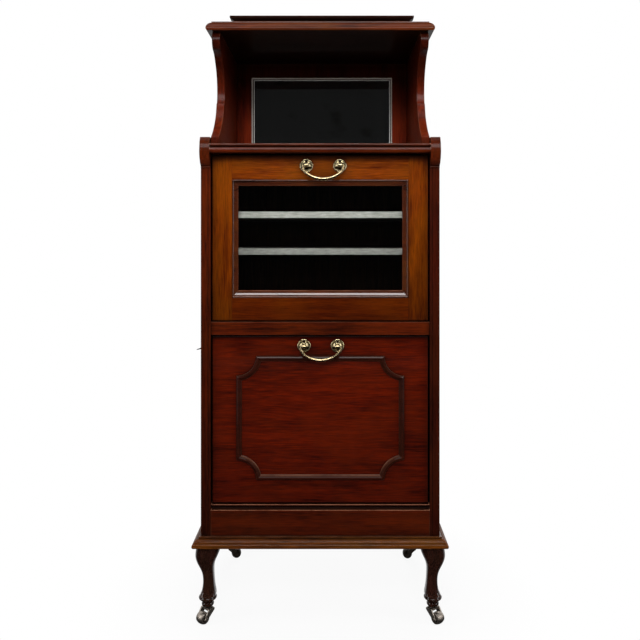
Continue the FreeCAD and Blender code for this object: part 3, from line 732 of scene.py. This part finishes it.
# Painted falloff of light darkens the panel towards its foot; LOWER_HEAD paints the shadow under the mid rail
FALL_BOARD = Timber(
    "fall board mahogany", Grain.ACROSS, shade(36, 5, 2), shade(90, 19, 2), seed=4.0, worn_and_lit=0.0, warmth=0.3,
    fades=(Fade("lower_fall_panel", 350 * MM, 150 * MM, grey(0.8)), LOWER_HEAD))
# Darker towards the foot, partly painted falloff of light and partly the redder wood of the foot rail;
# UPPER_HEAD paints the shadow under the nosing
PALE_UPRIGHT = Timber(
    "glazed fall upright", Grain.UPRIGHT, PALE_DARK, PALE_LIGHT, seed=5.0, worn_and_lit=0.03,
    fades=(Fade("upper_fall_rails", 360.5 * MM, 10.5 * MM, grey(0.5)), UPPER_HEAD))
PALE_ACROSS = Timber(
    "glazed fall across", Grain.ACROSS, PALE_DARK, PALE_LIGHT, seed=6.0, worn_and_lit=0.03,
    fades=(Fade("upper_fall_rails", 360.5 * MM, 10.5 * MM, (0.34, 0.24, 0.34)), UPPER_HEAD))
# The glazing moulding's worn edges carry a painted highlight besides its gloss
GLAZING = Timber(
    "glazing moulding", Grain.ACROSS, shade(38, 13, 6), shade(84, 36, 16), seed=7.0, coat=1.0, worn_and_lit=0.8)
BEAD = Timber("applied bead", Grain.ACROSS, BEAD_DARK, BEAD_LIGHT, seed=7.5, coat=0.18, worn_and_lit=0.3)
# The bottom bead rail's dark colour is painted shade in its recess, and its strong worn top edge a painted
# highlight
SHADED = Timber("shaded rail", Grain.ACROSS, BEAD_DARK, BEAD_LIGHT, seed=7.7, coat=0.6, worn_and_lit=1.6)
INNER = Timber(
    "inner timber", Grain.UPRIGHT, shade(20, 12, 7), shade(42, 25, 15), seed=8.0, roughness=0.6, coat=0.0,
    worn_and_lit=0.0, warmth=0.0)
BASE_ACROSS = Timber(
    "base mahogany across", Grain.ACROSS, BASE_DARK, BASE_LIGHT, seed=9.0, coat=0.15, grime_and_shade=1.0, worn_and_lit=0.3)
BASE_DEEP = Timber(
    "base mahogany deep", Grain.DEEP, BASE_DARK, BASE_LIGHT, seed=9.5, coat=0.15, grime_and_shade=1.0, worn_and_lit=0.3)
LEG_WOOD = Timber(
    "leg mahogany", Grain.UPRIGHT, shade(19, 8, 5), shade(44, 20, 14), seed=10.0, coat=0.7, worn_and_lit=0.15)
TOP_BOARD = Timber(
    "top mahogany", Grain.ACROSS, shade(12, 4, 3), shade(40, 14, 8), seed=11.0, coat=0.0, worn_and_lit=0.1)
# The lower shelf edges darken as painted falloff of light
SHELF = ShelfTimber(
    "music shelf", "music_shelves", board=shade(40, 26, 18), edge=shade(154, 152, 146),
    edge_dark=shade(126, 124, 118), fade=Fade("music_shelves", 94 * MM, 24 * MM, grey(0.62)))

BRASS = Metal(
    "mellow brass", shade(192, 172, 132), shade(52, 46, 22), bright_roughness=0.25, dull_roughness=0.42)
# The roses' dull colour also serves for the painted shade round the piercings and under the post
UPPER_ROSE = RoseBrass(
    "upper rose brass", ROSE_BRIGHT, ROSE_DULL_AND_SHADE, bright_roughness=0.22, dull_roughness=0.5,
    pair="upper_handle_roses")
LOWER_ROSE = RoseBrass(
    "lower rose brass", ROSE_BRIGHT, ROSE_DULL_AND_SHADE, bright_roughness=0.22, dull_roughness=0.5,
    pair="lower_handle_roses")
HIDDEN_BRASS = Metal(
    "plain brass", shade(110, 92, 56), shade(50, 40, 22), bright_roughness=0.4, dull_roughness=0.6)
CASTOR = Metal(
    "castor plating", shade(164, 154, 144), shade(54, 46, 42), bright_roughness=0.42, dull_roughness=0.55)
# The rear castors take a darker copy of the plating as painted shade
SHADED_CASTOR = Metal(
    "castor plating in painted shade", shade(34, 29, 25), shade(14, 11, 9), bright_roughness=0.5, dull_roughness=0.7)
IRON = Metal(
    "wrought iron", shade(52, 50, 48), shade(22, 20, 18), bright_roughness=0.5, dull_roughness=0.8)
PIN = Metal(
    "darkened pin", shade(34, 28, 22), shade(16, 12, 10), bright_roughness=0.5, dull_roughness=0.7)
# Pale strips that stand in for glints on the mirror's bevel and edge: painted highlights
BEVEL_GLINT = Metal(
    "painted bevel glint", shade(224, 224, 220), shade(140, 140, 138), bright_roughness=0.6, dull_roughness=0.6,
    metallic=0.0)
EDGE_GLINT = Metal(
    "painted edge glint", shade(232, 224, 214), shade(140, 128, 118), bright_roughness=0.5, dull_roughness=0.6,
    metallic=0.0)
MIRROR = Silvering("old silvering", silver=shade(216, 218, 218), spot=shade(150, 146, 138))
PANE = PaneGlass("window glass", tint=(0.96, 0.98, 0.97))

NODE_FINISHES = {
    CASE_UPRIGHT: ["pilaster_left", "side_panel_left", "side_panel_right"],
    CASE_DARKER: ["pilaster_right"],
    CASE_ACROSS: ["mid_rail", "display_shelf"],
    CANOPY: ["canopy_board"],
    NOSING: ["shelf_nosing"],
    PLINTH_BOARD: ["plinth_front"],
    TOP_BOARD: ["back_gallery", "gallery_capping"],
    NICHE_BOARD: ["upper_side_left", "upper_side_right"],
    FRAME_BOARD: ["mirror_frame"],
    BASE_ACROSS: ["base_moulding_front"],
    BASE_DEEP: ["base_moulding_sides"],
    LEG_WOOD: ["front_legs", "rear_legs"],
    FALL_BOARD: ["lower_fall_panel"],
    PALE_UPRIGHT: ["upper_fall_stiles"],
    PALE_ACROSS: ["upper_fall_rails"],
    GLAZING: ["glazing_moulding"],
    BEAD: ["lower_fall_moulding"],
    SHADED: ["bottom_bead_rail"],
    INNER: ["divider_board", "bottom_board", "base_board", "back_boards", "mirror_backboard", "shelf_cleats",
            "door_stops", "glazing_fillets"],
    SHELF: ["music_shelves"],
    MIRROR: ["mirror_glass"],
    PANE: ["glass_pane"],
    BRASS: ["upper_handle_posts", "lower_handle_posts", "upper_bail", "lower_bail"],
    UPPER_ROSE: ["upper_handle_roses"],
    LOWER_ROSE: ["lower_handle_roses"],
    HIDDEN_BRASS: ["upper_stays", "lower_stays", "stay_guides"],
    PIN: ["pivot_bushes", "upper_pivot_pins", "lower_pivot_pins"],
    IRON: ["side_hook"],
    CASTOR: ["castor_pins"] + [
        f"castor_{part}_front_{side}" for part in ("fork", "wheel") for side in ("left", "right")],
    SHADED_CASTOR: [f"castor_{part}_rear_{side}" for part in ("fork", "wheel") for side in ("left", "right")],
}


@dataclass
class Case:
    """The frame's own pieces with their finishes."""

    finishes: dict[Any, list[str]]

    def dress(self) -> None:
        """Gives every piece of the frame its finish."""
        for finish, names in self.finishes.items():
            material = finish.material()
            for name in names:
                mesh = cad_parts[name].data
                mesh.materials.clear()
                mesh.materials.append(material)
            LOG.info("%s: %s", finish.name, ", ".join(names))


def show(name: str, shape: bmesh.types.BMesh, material: bpy.types.Material) -> bpy.types.Object:
    """Turns a finished shape into an object.

    Args:
        name: Name of the object.
        shape: Its shape in metres, which is freed.
        material: Its finish.

    Returns:
        The object.
    """
    mesh = bpy.data.meshes.new(name)
    shape.to_mesh(mesh)
    shape.free()
    mesh.materials.append(material)
    piece = bpy.data.objects.new(name, mesh)
    bpy.context.scene.collection.objects.link(piece)
    return piece


@dataclass
class MirrorPlate:
    """Painted glint lines along the bevel and along the edge of the mirror plate."""

    bevel: float = 12 * MM
    line: float = 1.8 * MM
    line_depth: float = 0.1 * MM
    cover: float = 4.5 * MM
    edge_glint: float = 2.0 * MM
    edge_glint_depth: float = 3.0 * MM

    @staticmethod
    def ring(name: str, inset: float, width: float, depth: float, finish: Metal) -> None:
        """Lays a thin frame on the plate and lets it ride on the carcass.

        Args:
            name: Name of the piece.
            inset: How far its outer edge lies in from the plate's edge.
            width: Width of its bars.
            depth: How far it stands off the plate's face.
            finish: Its finish.
        """
        low, high = (Vector(corner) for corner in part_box("mirror_glass"))
        middle = (low + high) / 2
        half = (high - low) / 2 - Vector((inset, 0.0, inset))
        place = Matrix.Translation((middle.x, low.y - depth, middle.z))
        facing = Matrix.Rotation(QUARTER_TURN, 4, "X")
        shape = bmesh.new()
        bmesh.ops.create_grid(shape, x_segments=1, y_segments=1, size=1.0,
                              matrix=place @ facing @ Matrix.Diagonal((half.x, half.z, 1.0, 1.0)))
        sheet = list(shape.faces)
        bmesh.ops.inset_region(shape, faces=sheet, thickness=width, use_boundary=True, use_even_offset=True)
        bmesh.ops.delete(shape, geom=sheet, context="FACES")
        bmesh.ops.solidify(shape, geom=list(shape.faces), thickness=depth)
        bmesh.ops.recalc_face_normals(shape, faces=shape.faces)
        piece = show(name, shape, finish.material())
        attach(piece, "carcass")
        LOG.info("%s: %s", finish.name, name)

    def build(self) -> None:
        """Adds the painted glint lines along the bevel and along the plate's edge."""
        self.ring("mirror_bevel_glint", self.bevel - self.line, self.line, self.line_depth, BEVEL_GLINT)
        self.ring("mirror_edge_glint", self.cover, self.edge_glint, self.edge_glint_depth, EDGE_GLINT)


def stage_panel(name: str, matrix: Matrix, half: float, material: bpy.types.Material) -> bpy.types.Object:
    """Adds a square panel of the studio.

    Args:
        name: Name of the panel.
        matrix: Its place and turn.
        half: Half of its side.
        material: Its finish.

    Returns:
        The panel.
    """
    shape = bmesh.new()
    bmesh.ops.create_grid(shape, x_segments=1, y_segments=1, size=half, matrix=matrix)
    panel = show(name, shape, material)
    return panel


class Hang(Enum):
    """Way that a card hangs, as the axis and the angle that turn it from lying flat."""

    FLAT = ("X", 0.0)
    FACING = ("X", QUARTER_TURN)
    SIDEWAYS = ("Y", QUARTER_TURN)


@dataclass(frozen=True)
class Card:
    """Dark card that only the polished wood, the mirror and the pane reflect."""

    name: str
    place: Triple
    half: float
    hang: Hang = Hang.FLAT
    lightness: float = 0.012

    def build(self) -> None:
        """Puts up the card."""
        material, tree, shader, _ = new_material(self.name)
        tree.feed(shader, {
            "Base Color": opaque(grey(self.lightness)), "Roughness": 1.0, "Specular IOR Level": 0.0})
        axis, angle = self.hang.value
        turned = Matrix.Translation(self.place) @ Matrix.Rotation(angle, 4, axis)
        card = stage_panel(self.name, turned, self.half, material)
        card.visible_camera = False
        card.visible_shadow = False
        card.visible_diffuse = False


@dataclass(frozen=True)
class Lamp:
    """Soft rectangular lamp, with its width and height in metres and its power in watts."""

    name: str
    place: Triple
    target: Triple
    size: tuple[float, float]
    power: float
    reflected: bool = True

    def build(self) -> None:
        """Hangs the lamp and points it at its target."""
        data = bpy.data.lights.new(self.name, "AREA")
        data.shape = "RECTANGLE"
        data.size, data.size_y = self.size
        data.energy = self.power
        lamp = bpy.data.objects.new(self.name, data)
        lamp.location = self.place
        lamp.rotation_euler = (Vector(self.target) - Vector(self.place)).to_track_quat("-Z", "Y").to_euler()
        lamp.visible_glossy = self.reflected
        lamp.visible_transmission = self.reflected
        bpy.context.scene.collection.objects.link(lamp)


MIDDLE = (0.0, 0.0, 0.9)
CARDS = (
    Card("dark card behind the camera", (0.0, -3.4, 1.6), 3.4, Hang.FACING, lightness=0.02),
    Card("dark card on the left", (-3.2, -1.4, 1.6), 2.0, Hang.SIDEWAYS),
    Card("dark card on the right", (3.2, -1.4, 1.6), 2.0, Hang.SIDEWAYS),
    Card("dark card overhead", (0.0, -1.4, 3.5), 3.2),
    Card("dark floor card", (0.0, -1.7, 0.002), 1.6),
)
LAMPS = (
    Lamp("key", (0.0, -2.4, 2.45), (0.0, 0.0, 1.1), (1.6, 0.8), power=48.0),
    Lamp("fill", (0.0, -2.8, 1.3), MIDDLE, (1.0, 0.6), power=10.0, reflected=False),
    Lamp("overhead", (0.0, -0.7, 2.8), MIDDLE, (2.2, 0.9), power=16.0),
    Lamp("rear", (0.0, 2.6, 1.9), MIDDLE, (1.6, 1.0), power=40.0),
    Lamp("left", (-2.4, -1.0, 1.4), MIDDLE, (1.0, 2.2), power=30.0),
    Lamp("right", (2.4, -1.0, 1.4), MIDDLE, (1.0, 2.2), power=30.0),
)


@dataclass
class Studio:
    """Camera, pale floor, white surround, dark cards and lamps."""

    cards: tuple[Card, ...]
    lamps: tuple[Lamp, ...]
    camera_place: Triple = (0.0215, -1.70, 0.8727)
    sensor: float = 36.0
    lens: float = 38.3
    shift_x: float = -0.0152
    shift_y: float = -0.128
    floor_half: float = 12.0
    floor_tone: float = 0.7
    floor_roughness: float = 0.9
    shadow_span: Span = (0.3, 0.55)
    shadow_glow: Span = (0.92, 1.0)
    surround_light: Span = (0.12, 1.0)

    def camera(self) -> None:
        """Places the camera level with the cabinet's middle, with the view shifted down."""
        data = bpy.data.cameras.new("camera")
        data.sensor_width = self.sensor
        data.lens = self.lens
        data.shift_x = self.shift_x
        data.shift_y = self.shift_y
        camera = bpy.data.objects.new("camera", data)
        camera.location = self.camera_place
        camera.rotation_euler = (QUARTER_TURN, 0.0, 0.0)
        bpy.context.scene.collection.objects.link(camera)
        bpy.context.scene.camera = camera

    def floor(self) -> None:
        """Lays the floor, which shows as white and keeps a soft shadow near the cabinet."""
        material, tree, shader, place = new_material("pale floor")
        tree.feed(shader, {"Base Color": opaque(grey(self.floor_tone)), "Roughness": self.floor_roughness})
        white = tree.node("ShaderNodeEmission", {"Color": opaque(WHITE), "Strength": 1.0})
        glow = tree.remap(tree.length(place), self.shadow_span, self.shadow_glow)
        seen = tree.math("MULTIPLY", background_ray(tree), glow)
        show_shader(material, tree, tree.choose(seen, shader, white))
        stage_panel("floor", Matrix.Identity(4), self.floor_half, material)

    def surround(self) -> None:
        """Sets a white surround that lights the cabinet only a little."""
        world = bpy.data.worlds.new("surround")
        bpy.context.scene.world = world
        world.use_nodes = True
        tree = Tree(world.node_tree)
        tree.feed(world.node_tree.nodes["Background"], {
            "Color": opaque(WHITE),
            "Strength": tree.remap(background_ray(tree), RISING, self.surround_light)})

    def build(self) -> None:
        """Sets up the whole studio."""
        bpy.context.scene.view_settings.view_transform = "Standard"
        self.camera()
        self.floor()
        for card in self.cards:
            card.build()
        self.surround()
        for lamp in self.lamps:
            lamp.build()
        LOG.info("studio ready")


def main() -> None:
    """Builds the cabinet's looks and the studio."""
    logging.basicConfig(level=logging.INFO)
    Case(NODE_FINISHES).dress()
    MirrorPlate().build()
    Studio(CARDS, LAMPS).build()


if __name__ == "__main__":
    main()
